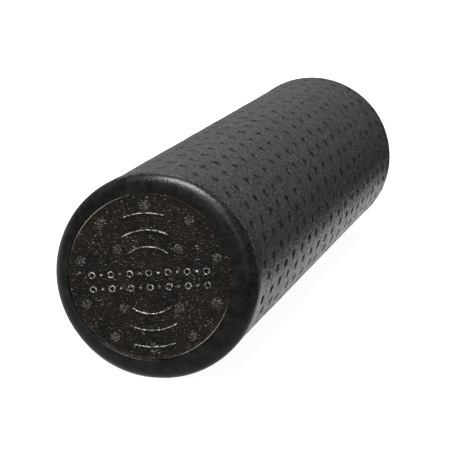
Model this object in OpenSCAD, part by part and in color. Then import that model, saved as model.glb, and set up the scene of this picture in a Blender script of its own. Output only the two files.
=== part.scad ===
// Foam roller: a moulded bead-foam core inside a smooth foam sleeve.
// The roller lies on its side. Its axis runs along Y, +Z is up, and the origin is on the floor
// under the middle of the roller.

/* [Roller] */
// Length from rim to rim
roller_l = 609.6; // [300:0.1:914.4]
// Outside diameter
roller_d = 152.4; // [150:0.1:160]

/* [Sleeve] */
// Wall thickness of the sleeve
sleeve_wall = 14.2; // [13:0.1:20]
// Radius of the sleeve's outer shoulders
outer_shoulder = 8.2; // [4:0.1:9.5]
// Radius of the sleeve's inner shoulders, next to the core
inner_shoulder = 1; // [1:0.1:3.2]

/* [Vent slots] */
// Rows of slots round the sleeve, an even number
slot_rows = 34; // [24:2:36]
// Angle of the first row, from +X towards +Z
first_row = 7.6; // [0:0.1:15]
// Distance along a row from one slot to the next
slot_pitch = 30.5; // [20:0.5:40]
// Length of a slot, across the roller
slot_l = 7; // [4:0.5:9]
// Width of a slot, along the roller
slot_w = 6.4; // [2:0.1:8]
// Depth of a slot in its middle
slot_depth = 1.2; // [0.5:0.1:2]
// Plain length that is left at each end
plain_end = 30; // [20:1:60]

/* [Core] */
// Depth of the core's end faces below the sleeve's rims
core_recess = 1; // [1:0.1:6]
// Radius of the core's edges
core_edge = 0.5; // [0.5:0.1:2]
// Width of the thin lip that the mould leaves round each end face
lip_w = 0.8; // [0.4:0.1:2]
// Height of that lip
lip_h = 0.4; // [0.2:0.1:0.9]

/* [Steam vent marks] */
// Diameter of one vent mark
vent_d = 8; // [4:0.5:10]
// Depth of a vent mark
vent_depth = 0.5; // [0.2:0.1:1]
// Marks in the outer circle
outer_vents = 10; // [6:1:16]
// Marks in the inner circle
inner_vents = 4; // [3:1:6]
// Radius of the outer circle, as a share of the core's radius
outer_vent_share = 0.86; // [0.8:0.01:0.88]
// Radius of the inner circle, as a share of the core's radius
inner_vent_share = 0.5; // [0.45:0.01:0.55]

/* [Raised pattern] */
// Height of the pattern above the core's end face
raise = 0.8; // [0.3:0.1:0.9]
// Width of the raised lines
line_w = 1.2; // [0.8:0.1:2]
// Rings and studs in each row across the middle
row_marks = 13; // [7:2:15]
// Distance from one mark to the next
row_pitch = 7.2; // [6:0.1:7.4]
// Distance between the two rows
row_gap = 10.5; // [8:0.1:14]
// Outside diameter of a ring
ring_d = 5.2; // [4:0.1:5.8]
// Diameter of a stud
stud_d = 2.6; // [1.5:0.1:4]
// Radius of the innermost arc, as a share of the core's radius
first_arc_share = 0.4; // [0.35:0.01:0.45]
// Step from one arc to the next, as a share of the core's radius
arc_step_share = 0.2; // [0.15:0.01:0.22]
// Angle that the innermost arc spans
first_arc_span = 76; // [40:1:80]
// Angle that each further arc loses
arc_span_step = 20; // [5:1:20]
// Arcs on each side of the rows
arc_count = 3; // [1:1:3]

/* [Hidden] */

// Overlap that joins a raised mark to the face, and clears a cutter past its face
bite = 0.5;
smooth = 96;

roller_r = roller_d / 2;
core_r = roller_r - sleeve_wall;
core_l = roller_l - 2 * core_recess;
lip_r = core_r - core_edge;
first_arc_r = first_arc_share * core_r;
arc_step = arc_step_share * core_r;

// Slots in a full row
row_slots = floor((roller_l - 2 * plain_end) / slot_pitch) + 1;
// Radius of the round bottom that gives a slot its length and depth
slot_r = (pow(slot_l / 2, 2) + pow(slot_depth, 2)) / (2 * slot_depth);

core_color = "#2e2a26";
sleeve_color = "#3a3b3c";

// Lays an upright part on its side, with its top end at -Y
module lying() {
    translate([0, 0, roller_r])
        rotate([90, 0, 0])
            children();
}

// Places its children on both end faces of the core, facing outwards
module on_both_ends() {
    for (turn = [0, 180])
        rotate([0, turn, 0])
            translate([0, 0, core_l / 2])
                children();
}

// What a rounded corner of radius r takes off a square one
module corner_cut(r) {
    difference() {
        square(r + bite);
        circle(r, $fn = smooth);
    }
}

// Half section of a tube, rounded at its rims
module rounded_wall(inside_r, outside_r, length, inside_round, outside_round) {
    difference() {
        translate([inside_r, -length / 2])
            square([outside_r - inside_r, length]);
        for (end = [0, 1])
            mirror([0, end]) {
                translate([outside_r - outside_round, length / 2 - outside_round])
                    corner_cut(outside_round);
                translate([inside_r + inside_round, length / 2 - inside_round])
                    mirror([1, 0])
                        corner_cut(inside_round);
            }
    }
}

// Half section of a bar, rounded at its ends
module rounded_bar(bar_r, length, edge_round) {
    difference() {
        translate([0, -length / 2])
            square([bar_r, length]);
        for (end = [0, 1])
            mirror([0, end])
                translate([bar_r - edge_round, length / 2 - edge_round])
                    corner_cut(edge_round);
    }
}

// A flat ring standing on the end face
module raised_ring(outside_r, width, height) {
    translate([0, 0, -bite])
        difference() {
            cylinder(h = height + bite, r = outside_r, $fn = smooth);
            translate([0, 0, -bite])
                cylinder(h = height + 3 * bite, r = outside_r - width, $fn = smooth);
        }
}

// A raised line along an arc that is centred on the +Y side of the face
module raised_arc(arc_r, span) {
    rotate([0, 0, 90 - span / 2])
        rotate_extrude(angle = span, $fn = smooth)
            translate([arc_r - line_w / 2, -bite])
                square([line_w, raise + bite]);
}

// One row of marks, a ring and a stud in turn, with a ring at each end
module mark_row() {
    for (i = [0 : row_marks - 1])
        translate([(i - (row_marks - 1) / 2) * row_pitch, 0, 0])
            if (i % 2 == 0)
                raised_ring(ring_d / 2, line_w, raise);
            else
                translate([0, 0, -bite])
                    cylinder(h = raise + bite, d = stud_d, $fn = smooth);
}

// Everything that stands proud of one end face
module raised_pattern() {
    raised_ring(lip_r, lip_w, lip_h);
    for (half = [0, 180])
        rotate([0, 0, half]) {
            translate([0, row_gap / 2, 0])
                mark_row();
            for (i = [0 : arc_count - 1])
                raised_arc(first_arc_r + i * arc_step, first_arc_span - i * arc_span_step);
        }
}

// The shallow round marks that the mould's steam vents leave, in one circle
module vent_circle(count, share) {
    for (i = [0 : count - 1])
        rotate([0, 0, (i + 0.5) * 360 / count])
            translate([share * core_r, 0, -vent_depth])
                cylinder(h = vent_depth + bite, d = vent_d, $fn = smooth);
}

module core() {
    color(core_color)
        lying()
            difference() {
                union() {
                    rotate_extrude($fn = smooth)
                        rounded_bar(core_r, core_l, core_edge);
                    on_both_ends()
                        raised_pattern();
                }
                on_both_ends() {
                    vent_circle(outer_vents, outer_vent_share);
                    vent_circle(inner_vents, inner_vent_share);
                }
            }
}

// One straight row of slots along the sleeve; every second row lies half a pitch further on
module slot_row(shifted) {
    slots = shifted ? row_slots - 1 : row_slots;
    for (i = [0 : slots - 1])
        translate([roller_r + slot_r - slot_depth, 0, (i - (slots - 1) / 2) * slot_pitch])
            cylinder(h = slot_w, r = slot_r, center = true, $fn = smooth);
}

module sleeve() {
    color(sleeve_color)
        lying()
            difference() {
                rotate_extrude($fn = smooth)
                    rounded_wall(core_r, roller_r, roller_l, inner_shoulder, outer_shoulder);
                for (row = [0 : slot_rows - 1])
                    rotate([0, 0, first_row + row * 360 / slot_rows])
                        slot_row(row % 2 == 1);
            }
}

core();
sleeve();
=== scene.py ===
import math

import bmesh
import bpy
import numpy as np
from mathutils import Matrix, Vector, noise


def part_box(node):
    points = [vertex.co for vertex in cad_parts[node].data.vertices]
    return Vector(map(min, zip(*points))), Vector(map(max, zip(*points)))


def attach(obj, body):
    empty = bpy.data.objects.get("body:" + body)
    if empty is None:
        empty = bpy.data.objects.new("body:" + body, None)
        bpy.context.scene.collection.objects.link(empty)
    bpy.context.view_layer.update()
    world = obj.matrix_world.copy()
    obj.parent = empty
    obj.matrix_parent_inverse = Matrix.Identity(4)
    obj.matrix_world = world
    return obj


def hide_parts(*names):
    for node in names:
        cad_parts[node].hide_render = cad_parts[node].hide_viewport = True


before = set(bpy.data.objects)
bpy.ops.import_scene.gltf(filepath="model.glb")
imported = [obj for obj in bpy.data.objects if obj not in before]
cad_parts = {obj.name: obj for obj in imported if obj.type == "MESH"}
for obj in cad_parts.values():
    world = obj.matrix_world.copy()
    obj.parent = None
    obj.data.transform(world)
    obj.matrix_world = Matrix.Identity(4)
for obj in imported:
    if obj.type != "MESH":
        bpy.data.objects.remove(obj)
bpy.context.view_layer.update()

# A foam roller that lies on its side: a moulded bead-foam core inside a closed-cell foam sleeve.
# Lengths are in metres. The roller's axis runs along Y, its near end is at -Y, +Z is up, and the
# floor is at Z = 0. Along the sleeve, "run" is the distance from the near rim, and "turn" is the
# angle round the axis, from +X towards +Z. Left and right are as seen from the near end.

MM = 0.001

# Sizes from the frame
sleeve_low, sleeve_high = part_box("sleeve")
core_low, core_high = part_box("core")
ROLLER_R = (sleeve_high.x - sleeve_low.x) / 2
ROLLER_L = sleeve_high.y - sleeve_low.y
CORE_R = (core_high.x - core_low.x) / 2

# Sleeve's rims
OUTER_SHOULDER = 8.6 * MM
INNER_SHOULDER = 0.6 * MM
RIM_SLOPE = math.radians(5)  # how far the rim's flat front leans back towards its outside
SMOOTH_RIM = 20 * MM  # how far the moulded skin stays smooth, from each rim
SKIN_FADE = (0.7 * SMOOTH_RIM, 1.25 * SMOOTH_RIM)  # it fades out between these
RIM_FLARE = 0.6 * MM  # how far each rim's skin stands proud of the slotted wall
FLARE_FADE = (0.4 * SMOOTH_RIM, 2.4 * SMOOTH_RIM)  # it falls to nothing between these
FRONT_START = (0.01, 0.15)  # where most of a rim's plain front starts, in outer shoulders inward
FRONT_REST = (0.3, 0.8)  # where the rest of it does
FRONT_START_SHARE = 0.85
RIM_WALL_STEPS = 6
OUTER_ARC_STEPS = 10
INNER_ARC_STEPS = 7

# Lattice of nearly square cells on the sleeve's wall, where every other cell holds a slot
SLOT_ROWS = 34
FIRST_ROW = math.radians(7.6)  # the turn of the first row's middle
HALF_PITCH = 15.25 * MM  # from a slot to the next row's slot, along the roller
FIRST_RUN = 20.6 * MM  # where the slotted part starts, from the near rim
SLOT_STEPS = 38
CELL_SIDE = 5  # mesh steps along each side of a cell
CELL_TURN = 2 * math.pi / SLOT_ROWS
FIRST_TURN = FIRST_ROW - CELL_TURN / 2
COLUMNS = SLOT_ROWS * CELL_SIDE
LINES = SLOT_STEPS * CELL_SIDE + 1
COLUMN_TURNS = FIRST_TURN + np.arange(COLUMNS) * CELL_TURN / CELL_SIDE
LINE_RUNS = FIRST_RUN + np.arange(LINES) * HALF_PITCH / CELL_SIDE

# Vent slots
SLOT_L = 7 * MM  # round the roller
SLOT_W = 8.2 * MM  # along the roller
SLOT_DEPTH = 1.2 * MM
SLOT_ROUNDING = 2.3  # exponent of the slot's outline: 2 is an ellipse
SLOT_END_RISE = 0.45  # how much shallower a slot is at its ends round the roller, as a share
# Mesh rings round a slot: how far outside its outline, and the share of its depth reached there
SLOT_RINGS = ((0.9 * MM, 0.0), (0.5 * MM, 0.03), (0.15 * MM, 0.3), (-0.45 * MM, 0.85))

# How the real slots stray from an even lattice
SLOT_SEED = 11
SLOT_STRAY = (1.9 * MM, 2.3 * MM)  # round the roller, and along it
DEPTH_SHARES = (0.6, 1.1)  # the least and most of a slot's depth
SLOT_LEAN = 0.25  # the most that a slot leans: run for each step across
SLOT_DRIFT = 14 * MM
DRIFT_MIDDLE = 0.64  # as a share of the length, like the next two
DRIFT_SPREAD = 0.15
DRIFT_FADE = 0.2

# Soft unevenness: height, shortest wave and longest wave
WALL_WAVES = (0.1 * MM, 35 * MM, 90 * MM)
WALL_SEED = 5
FACE_WAVES = (0.08 * MM, 12 * MM, 40 * MM)
FACE_SEED = 31

# Core
CORE_SHIFT = (-3.6 * MM, 0, 0.5 * MM)  # the core sits a little off the sleeve's middle
FACE_LIFT = 0.6 * MM  # how much nearer the rims the end faces sit than in the frame
END_SEEDS = ((-1, 3.0), (1, 8.0))  # each end's side along Y, and the seed of its grain
CORE_EDGE = 0.5 * MM
CORE_EDGE_STEPS = 4
LIP_W = 0.7 * MM
LIP_H = 0.4 * MM
LIP_FOOT = 0.3 * MM
LIP_GAP = 0.8 * MM  # from the bead pattern to the lip
FACE_GRID = 166  # mesh steps across an end face
BEAD = 3.6 * MM
BEAD_GROOVE = 0.22 * MM
GROOVE_WIDTH = 0.35  # as a share of a bead

# Steam vent marks
VENT_R = 4 * MM
VENT_EDGE = (VENT_R - 0.5 * MM, VENT_R + 0.3 * MM)  # a mark's floor rises to the face here
VENT_DEPTH = 0.5 * MM
OUTER_VENTS = 10
INNER_VENTS = 4
OUTER_VENT_SHARE = 0.85
INNER_VENT_SHARE = 0.5
VENT_DRIFT = math.radians(4)
VENT_DOT_R = 0.42 * MM
VENT_DOT_PITCH = 1.25 * MM
VENT_DOT_REACH = VENT_R - 0.6 * MM
VENT_DOT_MARK = 0.6  # how much painted highlight the dots get; the raised pattern is at 1

# Raised pattern
RAISE = 0.8 * MM  # the pattern's height above the end face
SUNK = 0.5  # how deep raised shapes are set into the face, as a share of their height
PATTERN_TILT = math.radians(5)
PATTERN_DROP = 2.6 * MM  # how far the pattern sits below the face's middle
LINE_W = 0.9 * MM
LINE_STEPS = 6  # over a line's round back
LINE_JITTER = 0.1 * MM
ROW_MARKS = 13
ROW_PITCH = 7.2 * MM
ROW_GAP = 10.5 * MM
RING_R = 2.6 * MM
RING_STEPS = 24
STUD_R = 1.1 * MM
FIRST_ARC_R = 0.4 * CORE_R
ARC_STEP = 0.2 * CORE_R
FIRST_ARC_SPAN = math.radians(76)
ARC_SPAN_STEP = math.radians(20)
ARC_COUNT = 3
ARC_POINTS = 40

CORE_FACE = -core_low.y - RAISE + FACE_LIFT  # from the roller's middle to the core's end face


# ---------------------------------------------------------------- mesh helpers


def smooth_step(low, high, x):
    share = np.clip((x - low) / (high - low), 0, 1)
    return share * share * (3 - 2 * share)


def swell(points, height, shortest, longest, seed, waves=20):
    """Soft unevenness over the points: a sum of plane waves in seeded directions."""
    draw = np.random.default_rng(seed)
    headings = draw.normal(size=(waves, 3))
    headings /= np.linalg.norm(headings, axis=1)[:, None]
    lengths = draw.uniform(shortest, longest, waves)
    phases = draw.uniform(0, 2 * math.pi, waves)
    total = np.zeros(len(points))
    for heading, length, phase in zip(headings, lengths, phases):
        total += np.sin(points @ heading * (2 * math.pi / length) + phase)
    return total * height / math.sqrt(waves)


def band(inner, outer):
    """Quads between two closed loops of point numbers."""
    inner_next, outer_next = np.roll(inner, -1), np.roll(outer, -1)
    return np.stack([outer, outer_next, inner_next, inner], 1).tolist()


def make_piece(name, points, faces, values):
    """A smooth-shaded mesh object from points and faces, with a named value at every point."""
    used = np.unique(np.concatenate([np.ravel(f) for f in faces]))
    place = np.full(len(points), -1)
    place[used] = np.arange(len(used))
    mesh = bpy.data.meshes.new(name)
    mesh.from_pydata(points[used].tolist(), [], [place[list(f)].tolist() for f in faces])
    for label, value in values.items():
        layer = mesh.attributes.new(label, "FLOAT", "POINT")
        layer.data.foreach_set("value", np.asarray(value, float)[used])
    work = bmesh.new()
    work.from_mesh(mesh)
    bmesh.ops.recalc_face_normals(work, faces=work.faces)
    work.to_mesh(mesh)
    work.free()
    mesh.shade_smooth()
    piece = bpy.data.objects.new(name, mesh)
    bpy.context.scene.collection.objects.link(piece)
    return piece


# ---------------------------------------------------------------- sleeve


class Shell:
    """Collects the sleeve: each point's turn, run, radius and slot value, and the faces."""

    def __init__(self):
        self.parts = []
        self.faces = []
        self.count = 0

    def add(self, turns, runs, radii, slots):
        """Adds points, where one number can stand for all of them, and gives their numbers."""
        part = np.stack(np.broadcast_arrays(turns, runs, radii, slots))
        number = self.count + np.arange(part.shape[1])
        self.parts.append(part)
        self.count += part.shape[1]
        return number


def arc_points(centre, radius, start, end, steps):
    """(run, radius) points along an arc of the sleeve's section, its start left out."""
    angles = np.linspace(start, end, steps + 1)[1:]
    return [(centre[0] + radius * math.cos(a), centre[1] + radius * math.sin(a)) for a in angles]


def rim_section(first_run):
    """(run, radius) points of the section, from the slotted wall over a rim to the bore."""
    facing = math.pi - RIM_SLOPE
    inner = (INNER_SHOULDER, CORE_R + INNER_SHOULDER)
    inner_end = inner[1] + INNER_SHOULDER * math.sin(facing)
    outer_r = ROLLER_R - OUTER_SHOULDER
    outer_end = outer_r + OUTER_SHOULDER * math.sin(facing)
    sloped = INNER_SHOULDER * (1 + math.cos(facing)) + (outer_end - inner_end) * math.tan(RIM_SLOPE)
    outer = (sloped - OUTER_SHOULDER * math.cos(facing), outer_r)
    points = [(run, ROLLER_R) for run in np.linspace(first_run, outer[0], RIM_WALL_STEPS + 1)[1:]]
    points += arc_points(outer, OUTER_SHOULDER, math.pi / 2, facing, OUTER_ARC_STEPS)
    for share in (0.5, 1):
        radius = outer_end + share * (inner_end - outer_end)
        points.append((sloped - (outer_end - radius) * math.tan(RIM_SLOPE), radius))
    points += arc_points(inner, INNER_SHOULDER, facing, 1.5 * math.pi, INNER_ARC_STEPS)
    return points


def slot_outline(grow):
    """Points round a slot, in metres: (across the roller, along it), for slots grown by grow."""
    count = 4 * CELL_SIDE
    angles = -0.75 * math.pi + np.arange(count) * 2 * math.pi / count
    power = 2 / SLOT_ROUNDING
    across = np.sign(np.cos(angles)) * np.abs(np.cos(angles)) ** power
    along = np.sign(np.sin(angles)) * np.abs(np.sin(angles)) ** power
    return across * (SLOT_L / 2 + grow), along * (SLOT_W / 2 + grow)


def cell_border(row, step):
    """Lattice places round one cell, as (column, line) pairs that start at its low corner."""
    side = np.arange(CELL_SIDE)
    low, high = np.zeros(CELL_SIDE, int), np.full(CELL_SIDE, CELL_SIDE)
    columns = np.concatenate([side, high, high - side, low])
    lines = np.concatenate([low, side, high, high - side])
    return row * CELL_SIDE + columns, step * CELL_SIDE + lines


def fill_slot(loop):
    """Quads across a slot's floor, from one end to the other."""
    count = len(loop)
    last = 3 * CELL_SIDE
    left = [(k - 2) % count for k in range(count // 2)]
    pairs = [(loop[k], loop[(last - k) % count]) for k in left]
    return [[a[0], b[0], b[1], a[1]] for a, b in zip(pairs, pairs[1:])]


def plain_cell(number, row, step):
    """Quads over a cell that holds no slot."""
    faces = []
    for line in range(step * CELL_SIDE, (step + 1) * CELL_SIDE):
        for column in range(row * CELL_SIDE, (row + 1) * CELL_SIDE):
            after = (column + 1) % COLUMNS
            faces.append([
                number[line, column], number[line, after],
                number[line + 1, after], number[line + 1, column],
            ])
    return faces


def add_slot(shell, loop, row, step, draw):
    """Rings from a cell's border down into its slot, and the slot's floor."""
    stray = draw.uniform(-1, 1, 2) * SLOT_STRAY
    depth = draw.uniform(*DEPTH_SHARES)
    lean = draw.uniform(-SLOT_LEAN, SLOT_LEAN)
    mid_turn = FIRST_TURN + (row + 0.5) * CELL_TURN
    mid_run = FIRST_RUN + (step + 0.5) * HALF_PITCH
    for grow, share in SLOT_RINGS:
        across, along = slot_outline(grow)
        sunk = depth * share * (1 - SLOT_END_RISE * (across / across.max()) ** 2)
        turns = mid_turn + (across + stray[0]) / ROLLER_R
        runs = mid_run + along + stray[1] + lean * across
        inner = shell.add(turns, runs, ROLLER_R - SLOT_DEPTH * sunk, sunk)
        shell.faces += band(inner, loop)
        loop = inner
    shell.faces += fill_slot(loop)


def add_wall(shell):
    """The sleeve's slotted wall; gives the numbers of its lattice points by line and column."""
    turns, runs = np.tile(COLUMN_TURNS, LINES), np.repeat(LINE_RUNS, COLUMNS)
    number = shell.add(turns, runs, ROLLER_R, 0)
    number = number.reshape(LINES, COLUMNS)
    draw = np.random.default_rng(SLOT_SEED)
    for row in range(SLOT_ROWS):
        for step in range(SLOT_STEPS):
            if (row + step) % 2:
                shell.faces += plain_cell(number, row, step)
            else:
                columns, lines = cell_border(row, step)
                add_slot(shell, number[lines, columns % COLUMNS], row, step, draw)
    return number


def add_rims_and_bore(shell, number):
    """Both rims, and the bore between them, from the wall's first line to its last."""
    section = rim_section(FIRST_RUN)
    far = rim_section(ROLLER_L - LINE_RUNS[-1])
    section += [(ROLLER_L - run, radius) for run, radius in reversed(far)]
    line = number[0]
    for run, radius in section:
        after = shell.add(COLUMN_TURNS, run, radius, 0)
        shell.faces += band(after, line)
        line = after
    shell.faces += band(number[-1], line)


def drifted(runs):
    """Runs moved by the slots' slow drift along the roller, which leaves the ends in place."""
    share = (runs / ROLLER_L - DRIFT_MIDDLE) / DRIFT_SPREAD
    ends = smooth_step(0, DRIFT_FADE, runs / ROLLER_L)
    ends = ends * smooth_step(0, DRIFT_FADE, 1 - runs / ROLLER_L)
    return runs + SLOT_DRIFT * np.exp(-share * share) * ends


def rim_front(radii, from_rim):
    """How far each point counts as a rim's plain front, which starts on its outer shoulder."""
    inward = (ROLLER_R - radii) / OUTER_SHOULDER
    front = FRONT_START_SHARE * smooth_step(*FRONT_START, inward)
    front += (1 - FRONT_START_SHARE) * smooth_step(*FRONT_REST, inward)
    return front * (from_rim < OUTER_SHOULDER)


def build_sleeve():
    shell = Shell()
    add_rims_and_bore(shell, add_wall(shell))
    turns, runs, radii, slots = np.concatenate(shell.parts, 1)
    runs = drifted(runs)
    from_rim = np.minimum(runs, ROLLER_L - runs)
    wall = smooth_step(CORE_R, ROLLER_R - OUTER_SHOULDER, radii)
    points = np.stack([radii * np.cos(turns), runs - ROLLER_L / 2, radii * np.sin(turns)], 1)
    outward = np.stack([np.cos(turns), np.zeros(len(turns)), np.sin(turns)], 1)
    waves = swell(points, *WALL_WAVES, WALL_SEED)
    points += outward * (waves * wall)[:, None]
    # The bore and the rims' inner edges follow the core, and the outer wall stays in place
    points += np.outer(1 - wall, CORE_SHIFT)
    points[:, 2] += ROLLER_R
    flare = RIM_FLARE * (1 - smooth_step(*FLARE_FADE, from_rim))
    points += outward * (flare * wall)[:, None]
    # Nothing reaches below the floor
    points[:, 2] = np.maximum(points[:, 2], 0)
    skin = 1 - smooth_step(*SKIN_FADE, from_rim)
    values = {"slot_depth": slots, "smooth_skin": skin, "rim_front": rim_front(radii, from_rim)}
    return make_piece("sleeve_foam", points, shell.faces, values)


# ---------------------------------------------------------------- core


class Face:
    """Collects one end face in its own plane: x across, y up, z out of the face."""

    def __init__(self):
        self.points = []
        self.faces = []
        self.marks = []
        self.count = 0

    def add(self, points, faces=(), mark=0.0):
        """Adds points, with faces that count from the first of them, and gives their numbers."""
        number = self.count + np.arange(len(points))
        self.faces += [[self.count + k for k in face] for face in faces]
        self.points.append(np.asarray(points, float))
        self.marks.append(np.zeros(len(points)) + mark)
        self.count += len(points)
        return number


def disc_grid(radius, steps):
    """A grid of quads bent into a disc: its points, its faces and the loop round its edge."""
    side = np.linspace(-1, 1, steps + 1)
    u, v = np.meshgrid(side, side)
    wide = np.abs(u) >= np.abs(v)
    reach = np.where(wide, u, v)
    safe = np.where(reach == 0, 1, reach)
    angle = np.where(wide, math.pi / 4 * v / safe, math.pi / 2 - math.pi / 4 * u / safe)
    points = np.stack([reach * np.cos(angle), reach * np.sin(angle)], -1).reshape(-1, 2) * radius
    number = np.arange((steps + 1) ** 2).reshape(steps + 1, steps + 1)
    corners = [number[:-1, :-1], number[:-1, 1:], number[1:, 1:], number[1:, :-1]]
    faces = np.stack([c.ravel() for c in corners], 1)
    edge = [number[0, :-1], number[:-1, -1], number[-1, :0:-1], number[:0:-1, 0]]
    return points, faces.tolist(), np.concatenate(edge)


def vent_places():
    """Middles of the vent marks on an end face, a little unevenly spread as in the mould."""
    places = []
    for count, share in ((OUTER_VENTS, OUTER_VENT_SHARE), (INNER_VENTS, INNER_VENT_SHARE)):
        for i in range(count):
            angle = (i + 0.5) * 2 * math.pi / count
            angle += VENT_DRIFT * (1 - math.cos(angle))
            places.append((share * CORE_R * math.cos(angle), share * CORE_R * math.sin(angle)))
    return np.array(places)


def bead_relief(points, seed):
    """Height of the foam's bead pattern: low domes with narrow grooves between them."""
    inside = np.zeros(len(points))
    for k, (x, y) in enumerate(points):
        nearest = noise.voronoi(Vector((x / BEAD, y / BEAD, seed)))[0]
        inside[k] = nearest[1] - nearest[0]
    return BEAD_GROOVE * (smooth_step(0, GROOVE_WIDTH, inside) - 1)


def face_height(points, seed):
    """Height of the end face over its own plane, without the raised pattern."""
    height = bead_relief(points, seed)
    for place in vent_places():
        away = np.linalg.norm(points - place, axis=1)
        inside = 1 - smooth_step(*VENT_EDGE, away)
        height = height * (1 - inside) - VENT_DEPTH * inside
    # The seed stands in for the third coordinate, so that the two ends differ
    flat = np.stack([points[:, 0], points[:, 1], np.full(len(points), seed)], 1)
    return height + swell(flat, *FACE_WAVES, FACE_SEED)


def rounded_line(path, width, height, closed):
    """A raised line with a round back along a path of (x, y) points: points and faces."""
    path = np.asarray(path, float)
    if closed:
        ahead = np.roll(path, -1, 0) - np.roll(path, 1, 0)
    else:
        ahead = np.gradient(path, axis=0)
    ahead /= np.linalg.norm(ahead, axis=1)[:, None]
    across = np.stack([ahead[:, 1], -ahead[:, 0]], 1)
    around = np.linspace(0, math.pi, LINE_STEPS + 1)
    sides = [(-width / 2, -SUNK * height)]
    sides += [(-width / 2 * math.cos(a), height * math.sin(a)) for a in around]
    sides += [(width / 2, -SUNK * height)]
    points = []
    for side, lift in sides:
        flat = path + across * side
        points.append(np.column_stack([flat, np.full(len(path), lift)]))
    points = np.stack(points, 1).reshape(-1, 3)
    number = np.arange(len(points)).reshape(len(path), len(sides))
    faces = []
    for k in range(len(path) if closed else len(path) - 1):
        faces += band(number[(k + 1) % len(path)], number[k])
    if not closed:
        faces += [number[0].tolist(), number[-1][::-1].tolist()]
    return points, faces


def circle_path(centre, radius, segments):
    angles = np.arange(segments) * 2 * math.pi / segments
    return np.stack([centre[0] + radius * np.cos(angles), centre[1] + radius * np.sin(angles)], 1)


def dome(centre, radius, height, segments, levels):
    """A low round button: points and faces."""
    points, faces = [], []
    for level in range(levels):
        tilt = level / levels * math.pi / 2
        reach, lift = radius * math.cos(tilt), height * math.sin(tilt)
        points += [(x, y, lift) for x, y in circle_path(centre, reach, segments)]
    base = [(x, y, -SUNK * height) for x, y, _ in points[:segments]]
    points = base + points + [(centre[0], centre[1], height)]
    number = np.arange((levels + 1) * segments).reshape(levels + 1, segments)
    for low, high in zip(number, number[1:]):
        faces += band(high, low)
    top = len(points) - 1
    faces += [[number[-1][k], number[-1][(k + 1) % segments], top] for k in range(segments)]
    faces.append(number[0][::-1].tolist())
    return np.array(points), faces


def add_mark_row(face, turn, draw):
    """A ring and a stud in turn along a straight row, on one side of the middle."""
    for i in range(ROW_MARKS):
        x, y = (i - (ROW_MARKS - 1) / 2) * ROW_PITCH, ROW_GAP / 2
        place = [x * math.cos(turn) - y * math.sin(turn), x * math.sin(turn) + y * math.cos(turn)]
        place[1] -= PATTERN_DROP
        if i % 2:
            face.add(*dome(place, STUD_R, RAISE, segments=14, levels=4), mark=1)
        else:
            path = circle_path(place, RING_R - LINE_W / 2, RING_STEPS)
            path += draw.normal(0, LINE_JITTER, path.shape)
            face.add(*rounded_line(path, LINE_W, RAISE, closed=True), mark=1)


def add_arcs(face, turn, draw):
    """Arcs one inside another, on one side of the middle."""
    for i in range(ARC_COUNT):
        radius = FIRST_ARC_R + i * ARC_STEP
        span = FIRST_ARC_SPAN - i * ARC_SPAN_STEP
        angles = turn + math.pi / 2 + np.linspace(-span / 2, span / 2, ARC_POINTS)
        path = np.stack([radius * np.cos(angles), radius * np.sin(angles) - PATTERN_DROP], 1)
        path += draw.normal(0, LINE_JITTER, path.shape)
        face.add(*rounded_line(path, LINE_W, RAISE, closed=False), mark=1)


def add_vent_dots(face):
    """The dots that the vents' small holes leave, in a hexagonal patch in each vent mark."""
    reach = int(VENT_R / VENT_DOT_PITCH) + 1
    for place in vent_places():
        for i in range(-reach, reach + 1):
            for j in range(-reach, reach + 1):
                x = (i + 0.5 * (j % 2)) * VENT_DOT_PITCH
                y = j * VENT_DOT_PITCH * math.sin(math.pi / 3)
                if math.hypot(x, y) < VENT_DOT_REACH:
                    centre = (place[0] + x, place[1] + y)
                    dot, faces = dome(centre, VENT_DOT_R, VENT_DOT_R, segments=6, levels=2)
                    dot[:, 2] -= VENT_DEPTH
                    face.add(dot, faces, mark=VENT_DOT_MARK)


def edge_section():
    """(radius, height) points from the face's grid over the lip and the rounded edge."""
    lip = CORE_R - CORE_EDGE
    points = [(lip - LIP_W - LIP_FOOT, 0), (lip - LIP_W, 0.3 * LIP_H)]
    points += [(lip - 0.75 * LIP_W, LIP_H), (lip - 0.25 * LIP_W, LIP_H), (lip, 0.3 * LIP_H)]
    for angle in np.linspace(math.pi / 2, 0, CORE_EDGE_STEPS + 1):
        points.append((lip + CORE_EDGE * math.cos(angle), CORE_EDGE * (math.sin(angle) - 1)))
    return points


def end_face(seed):
    """One end of the core as a Face, and the loop round its rim."""
    face = Face()
    grid_r = CORE_R - CORE_EDGE - LIP_W - LIP_GAP
    flat, faces, loop = disc_grid(grid_r, FACE_GRID)
    face.add(np.column_stack([flat, face_height(flat, seed)]), faces)
    headings = flat[loop] / grid_r
    # The lip gets painted highlight at its upper left and its lower right, where light catches it; a
    # negative mark is this painted highlight on the lip
    glinting_lip = np.clip(-2 * headings[:, 0] * headings[:, 1], 0, 1) ** 3
    for radius, height in edge_section():
        ring = np.column_stack([headings * radius, np.full(len(loop), height)])
        number = face.add(ring, mark=-glinting_lip if height > 0.5 * LIP_H else 0)
        face.faces += band(number, loop)
        loop = number
    draw = np.random.default_rng(int(seed))
    for half in (0, math.pi):
        add_mark_row(face, PATTERN_TILT + half, draw)
        add_arcs(face, PATTERN_TILT + half, draw)
    add_vent_dots(face)
    return face, loop


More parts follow.
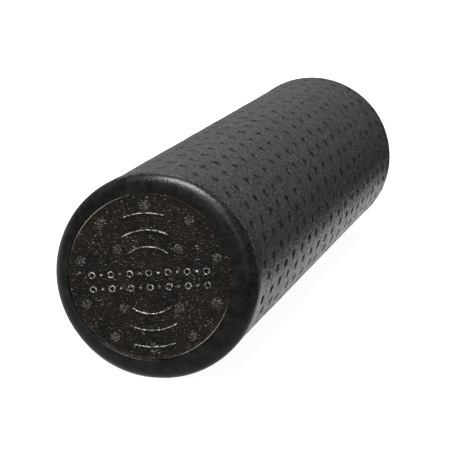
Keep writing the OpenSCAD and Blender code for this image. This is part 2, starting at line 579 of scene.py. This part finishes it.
def build_core():
    points, faces, marks, loops = [], [], [], []
    count = 0
    for end, seed in END_SEEDS:
        face, loop = end_face(seed)
        local = np.concatenate(face.points)
        outward = end * (CORE_FACE + local[:, 2])
        points.append(np.stack([-end * local[:, 0], outward, ROLLER_R + local[:, 1]], 1))
        faces += [[count + k for k in one] for one in face.faces]
        marks += face.marks
        loops.append(loop + count)
        count += face.count
    near, far = loops
    # The far loop runs the other way round in X, so it is turned to face the near one
    far = np.roll(far[::-1], FACE_GRID + 1)
    faces += band(near, far)
    points = np.concatenate(points) + CORE_SHIFT
    return make_piece("core_foam", points, faces, {"mark": np.concatenate(marks)})


# ---------------------------------------------------------------- materials

# Colours are linear red, green, blue and alpha
WALL_DARK = (0.008, 0.008, 0.0075, 1)
WALL_LIGHT = (0.012, 0.012, 0.0112, 1)
WALL_GRAIN = (0.071, 0.071, 0.066, 1)
SKIN_DARK = (0.001, 0.001, 0.0009, 1)
SKIN_SCUFF = (0.0065, 0.0065, 0.006, 1)
# painted shade in the slots, partly also their darker foam
SLOT_PAINTED_SHADE = (0.001, 0.001, 0.001, 1)
BEAD_COLD = (0.0036, 0.0035, 0.0026, 1)
BEAD_WARM = (0.0092, 0.0058, 0.0038, 1)
BEAD_THREAD = (0.030, 0.026, 0.022, 1)
# painted glints on the core's faces
BEAD_GLINT_PAINT = (0.34, 0.315, 0.275, 1)
# painted highlight on the raised pattern, the vent dots and the lip
BEAD_HIGHLIGHT_PAINT = (0.35, 0.325, 0.285, 1)
FLOOR_DARK = (0.30, 0.30, 0.30, 1)
FLOOR_LIGHT = (0.32, 0.32, 0.32, 1)
WHITE = (1, 1, 1, 1)

LIP_HIGHLIGHT_SHARE = -0.6  # turns the lip's negative marks into a share of the painted highlight colour
FLOOR_GLOW = 0.95


class Nodes:
    """Short names for building the node tree of a material or of the world."""

    def __init__(self, owner, place="Object"):
        owner.use_nodes = True
        self.tree = owner.node_tree
        self.place = self.tree.nodes.new("ShaderNodeTexCoord").outputs[place]

    def node(self, kind, inputs=None, **settings):
        made = self.tree.nodes.new(kind)
        for key, value in settings.items():
            setattr(made, key, value)
        for key, value in (inputs or {}).items():
            self.put(made.inputs[key], value)
        return made

    def put(self, socket, value):
        if isinstance(value, bpy.types.NodeSocket):
            self.tree.links.new(value, socket)
        else:
            socket.default_value = value

    def noise(self, size, detail=2.0, roughness=0.5, squeeze=(1, 1, 1)):
        place = self.node("ShaderNodeVectorMath", {0: self.place, 1: squeeze}, operation="MULTIPLY")
        inputs = {
            "Vector": place.outputs[0], "Scale": 1 / size, "Detail": detail, "Roughness": roughness,
        }
        return self.node("ShaderNodeTexNoise", inputs).outputs["Fac"]

    def cells(self, size, feature="F1"):
        inputs = {"Vector": self.place, "Scale": 1 / size}
        return self.node("ShaderNodeTexVoronoi", inputs, feature=feature).outputs["Distance"]

    def attribute(self, name):
        return self.node("ShaderNodeAttribute", attribute_name=name).outputs["Fac"]

    def spread(self, value, low, high, new_low=0.0, new_high=1.0):
        inputs = {
            "Value": value, "From Min": low, "From Max": high, "To Min": new_low, "To Max": new_high,
        }
        return self.node("ShaderNodeMapRange", inputs, interpolation_type="SMOOTHSTEP").outputs[0]

    def math(self, operation, first, second):
        return self.node("ShaderNodeMath", {0: first, 1: second}, operation=operation).outputs[0]

    def mix(self, share, first, second, blend="MIX"):
        inputs = {0: share, 6: first, 7: second}
        made = self.node("ShaderNodeMix", data_type="RGBA", blend_type=blend)
        for key, value in inputs.items():
            self.put(made.inputs[key], value)
        return made.outputs[2]

    def bump(self, height, strength, distance):
        inputs = {"Height": height, "Strength": strength, "Distance": distance}
        return self.node("ShaderNodeBump", inputs).outputs["Normal"]


def new_material(name):
    """A material, the Nodes of its tree and its shader's inputs."""
    material = bpy.data.materials.new(name)
    n = Nodes(material)
    return material, n, n.tree.nodes["Principled BSDF"].inputs


def sleeve_material():
    """Charcoal closed-cell foam: pebbled along the wall, with a smooth moulded skin at the rims."""
    material, n, shader = new_material("sleeve_foam")
    skin = n.attribute("smooth_skin")
    front = n.attribute("rim_front")
    dark = n.spread(n.attribute("slot_depth"), 0.0, 0.45)

    patches = n.spread(n.noise(28 * MM, 3), 0.35, 0.65)
    grain = n.spread(n.noise(1.5 * MM, 3), 0.38, 0.64)
    tone = n.mix(patches, WALL_DARK, WALL_LIGHT)
    tone = n.mix(grain, tone, WALL_GRAIN)
    plain = n.math("MAXIMUM", front, n.math("MULTIPLY", skin, 0.15))
    scuffs = n.spread(n.noise(9 * MM, 4, 0.6), 0.42, 0.68)
    tone = n.mix(plain, tone, n.mix(scuffs, SKIN_DARK, SKIN_SCUFF))
    # Slots darken with depth: partly painted shade in the hollows, partly the slots' darker foam
    tone = n.mix(n.math("MULTIPLY", dark, 0.75), tone, SLOT_PAINTED_SHADE)
    n.put(shader["Base Color"], tone)

    rough = n.spread(n.noise(6 * MM, 3), 0.3, 0.7, 0.22, 0.32)
    rough = n.math("ADD", rough, n.math("MULTIPLY", dark, 0.16))
    n.put(shader["Roughness"], rough)
    shader["IOR"].default_value = 1.36

    pebbles = n.spread(n.cells(2.2 * MM, "SMOOTH_F1"), 0.0, 0.7)
    pebbles = n.math("MULTIPLY", pebbles, n.spread(skin, 0, 1, 1.0, 0.1))
    height = n.math("SUBTRACT", n.math("MULTIPLY", n.noise(0.9 * MM, 2), 0.6), pebbles)
    n.put(shader["Normal"], n.bump(height, n.spread(skin, 0, 1, 1.0, 0.7), 0.5 * MM))
    return material


def core_material():
    """Brown-black bead foam with grooves between the beads, and small light flecks painted as glints.
    """
    material, n, shader = new_material("bead_foam")
    mark = n.attribute("mark")

    warm = n.spread(n.noise(20 * MM, 3), 0.35, 0.65)
    tone = n.mix(warm, BEAD_COLD, BEAD_WARM)
    threads = n.spread(n.noise(1.3 * MM, 2, squeeze=(0.25, 1, 1)), 0.5, 0.68, 0.0, 0.45)
    tone = n.mix(threads, tone, BEAD_THREAD)
    groove = n.spread(n.cells(BEAD, "DISTANCE_TO_EDGE"), 0.0, 0.12, 0.5, 1.0)
    tone = n.mix(1.0, tone, groove, "MULTIPLY")
    # Painted highlight: small light flecks and short streaks stand in for glints off the beads' skins
    clusters = n.spread(n.noise(9 * MM, 2), 0.35, 0.65, -0.05, 0.01)
    glint_streaks = n.math("ADD", n.noise(0.9 * MM, 2, 0.7, squeeze=(0.5, 1, 1)), clusters)
    tone = n.mix(n.spread(glint_streaks, 0.60, 0.76), tone, BEAD_GLINT_PAINT)
    # Painted highlight: the raised pattern's crests, the vent dots and the lip are lighter where
    # light would glint on them
    painted_glint = n.math("MULTIPLY", mark, n.spread(n.noise(1.3 * MM, 3), 0.46, 0.6, 0.08, 1.0))
    painted_glint = n.math("MAXIMUM", painted_glint, n.math("MULTIPLY", mark, LIP_HIGHLIGHT_SHARE))
    tone = n.mix(painted_glint, tone, BEAD_HIGHLIGHT_PAINT)
    n.put(shader["Base Color"], tone)

    n.put(shader["Roughness"], n.spread(n.noise(4 * MM, 3), 0.3, 0.7, 0.34, 0.52))
    shader["IOR"].default_value = 1.2

    beads = n.spread(n.cells(1.3 * MM), 0.0, 0.8)
    height = n.math("SUBTRACT", n.noise(0.8 * MM, 2), beads)
    n.put(shader["Normal"], n.bump(height, 0.7, 0.4 * MM))
    return material


def floor_material():
    material, n, shader = new_material("pale_floor")
    n.put(shader["Base Color"], n.mix(n.noise(0.8, 2), FLOOR_DARK, FLOOR_LIGHT))
    shader["Roughness"].default_value = 0.9
    shader["Specular IOR Level"].default_value = 0.1
    shader["Emission Color"].default_value = WHITE
    shader["Emission Strength"].default_value = FLOOR_GLOW
    return material


# ---------------------------------------------------------------- stage, light and camera

FLOOR_SIDE = 16.0

# Broad soft lights: name, strength, spread, turn from +X towards +Y, and rise above the floor
SUNS = (
    ("key_softbox", 6.6, 25, -78, 60),
    ("middle_softbox", 0.7, 24, -82, 32),
    ("low_softbox", 0.4, 12, -81, 10),
    ("back_softbox", 0.4, 25, 102, 60),
)

# What the foam reflects, by direction
SWEEP_LIGHT = 1.1
SWEEP_TOWARDS = (-0.35, 0.15, -1.0)  # low down, and a little left and behind
SWEEP_EDGE = (0.28, 0.39)  # where the sweep's light starts, along that direction
SWEEP_FADE = (0.36, 0.50)  # where it falls to half
ROOM_LIGHT = 0.028
LEFT_LIGHT = 8 * ROOM_LIGHT
ROOM_TURN = (-0.3, 0.2)  # where the left's light gives way to the room's, along X

# The view, in roller radii from the middle of the near rim
VIEW_TURN = math.radians(13.38)
VIEW_RISE = math.radians(10.70)
VIEW_BACK = 20.343
VIEW_RIGHT = 0.674
VIEW_UP = 0.504
LENS = 171.1
SENSOR = 36.0


def towards(turn, rise):
    """The direction at an angle from +X towards +Y and a rise above the floor, in degrees."""
    turn, rise = math.radians(turn), math.radians(rise)
    flat = math.cos(rise)
    return Vector((math.cos(turn) * flat, math.sin(turn) * flat, math.sin(rise)))


def add_floor():
    mesh = bpy.data.meshes.new("floor")
    half = FLOOR_SIDE / 2
    corners = [(-half, -half, 0), (half, -half, 0), (half, half, 0), (-half, half, 0)]
    mesh.from_pydata(corners, [], [(0, 1, 2, 3)])
    floor = bpy.data.objects.new("floor", mesh)
    floor.data.materials.append(floor_material())
    bpy.context.scene.collection.objects.link(floor)
    # The foam's light comes from the world and the suns, and the floor adds none
    floor.visible_glossy = False
    floor.visible_diffuse = False


def add_sun(name, strength, spread, turn, rise):
    light = bpy.data.lights.new(name, "SUN")
    light.energy = strength
    light.angle = math.radians(spread)
    lamp = bpy.data.objects.new(name, light)
    lamp.rotation_mode = "QUATERNION"
    lamp.rotation_quaternion = towards(turn, rise).to_track_quat("Z", "Y")
    bpy.context.scene.collection.objects.link(lamp)


def add_world():
    """The studio that the foam reflects: dim, with a bright sweep low down behind and to the left."""
    world = bpy.data.worlds.new("studio")
    n = Nodes(world, "Generated")
    inputs = {0: n.place, 1: SWEEP_TOWARDS}
    lowness = n.node("ShaderNodeVectorMath", inputs, operation="DOT_PRODUCT").outputs["Value"]
    sweep = n.spread(lowness, *SWEEP_EDGE, 0.0, SWEEP_LIGHT)
    sweep = n.math("MULTIPLY", sweep, n.spread(lowness, *SWEEP_FADE, 1.0, 0.5))
    across = n.node("ShaderNodeSeparateXYZ", {0: n.place}).outputs["X"]
    room = n.spread(across, *ROOM_TURN, LEFT_LIGHT, ROOM_LIGHT)
    # The camera sees plain white past the roller
    seen = n.node("ShaderNodeLightPath").outputs["Is Camera Ray"]
    background = n.tree.nodes["Background"].inputs
    n.put(background["Strength"], n.math("MAXIMUM", n.math("ADD", sweep, room), seen))
    background["Color"].default_value = WHITE
    bpy.context.scene.world = world


def add_camera():
    back = Vector((
        math.sin(VIEW_TURN) * math.cos(VIEW_RISE),
        -math.cos(VIEW_TURN) * math.cos(VIEW_RISE),
        math.sin(VIEW_RISE),
    ))
    right = Vector((math.cos(VIEW_TURN), math.sin(VIEW_TURN), 0))
    up = back.cross(right)
    camera = bpy.data.objects.new("camera", bpy.data.cameras.new("camera"))
    camera.data.lens = LENS
    camera.data.sensor_width = SENSOR
    camera.data.clip_end = 100
    near_rim = Vector((0, -ROLLER_L / 2, ROLLER_R))
    camera.location = near_rim + ROLLER_R * (VIEW_BACK * back + VIEW_RIGHT * right + VIEW_UP * up)
    camera.rotation_mode = "QUATERNION"
    camera.rotation_quaternion = (-back).to_track_quat("-Z", "Y")
    bpy.context.scene.collection.objects.link(camera)
    bpy.context.scene.camera = camera


def add_piece(piece, node, material):
    piece.data.materials.append(material)
    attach(piece, "root")
    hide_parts(node)


add_piece(build_core(), "core", core_material())
add_piece(build_sleeve(), "sleeve", sleeve_material())
add_floor()
add_world()
for sun in SUNS:
    add_sun(*sun)
add_camera()
bpy.context.scene.view_settings.view_transform = "Standard"
